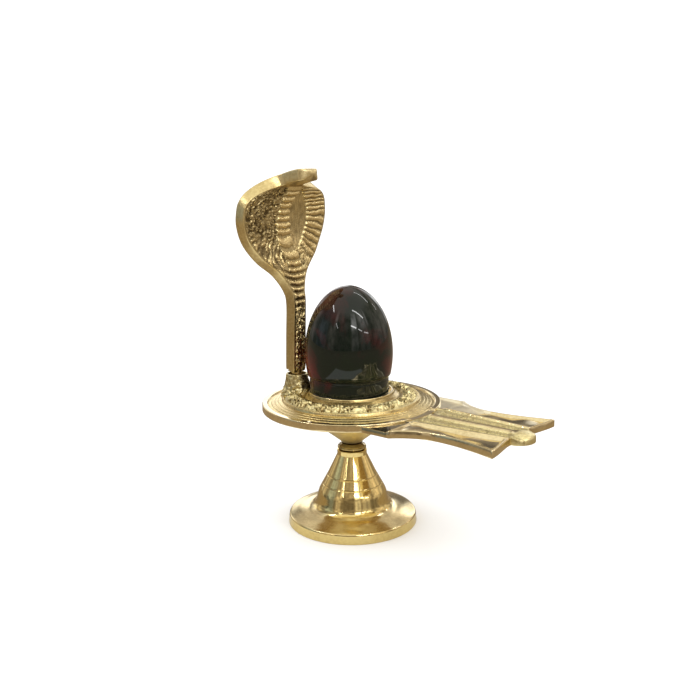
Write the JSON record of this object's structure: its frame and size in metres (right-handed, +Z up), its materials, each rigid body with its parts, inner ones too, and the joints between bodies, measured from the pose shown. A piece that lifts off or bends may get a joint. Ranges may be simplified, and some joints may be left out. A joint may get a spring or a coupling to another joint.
{
  "type": "shiva lingam",
  "caption": "Shiva lingam: a polished dark stone egg in a brass yoni plate with a fishtail spout, on a turned foot, under a cobra hood.",
  "frame": {"origin": "middle of the part's box in X and Y, on the plane that it stands on; the foot's axis is 26.1 mm behind it in X", "axes": "+Z up along the foot's axis, +X along the plate's spout"},
  "size_m": [0.1352, 0.083, 0.1649],
  "materials": {
    "turned_brass": "polished",
    "cast_brass": "cast, with polished edges",
    "hood_brass": "cast, with polished edges",
    "polished_stone": "high polish"
  },
  "bodies": {
    "root": {"foot": "turned_brass", "yoni_plate": "cast_brass", "naga_hood": "hood_brass", "lingam": "polished_stone"}
  },
  "joints": []
}
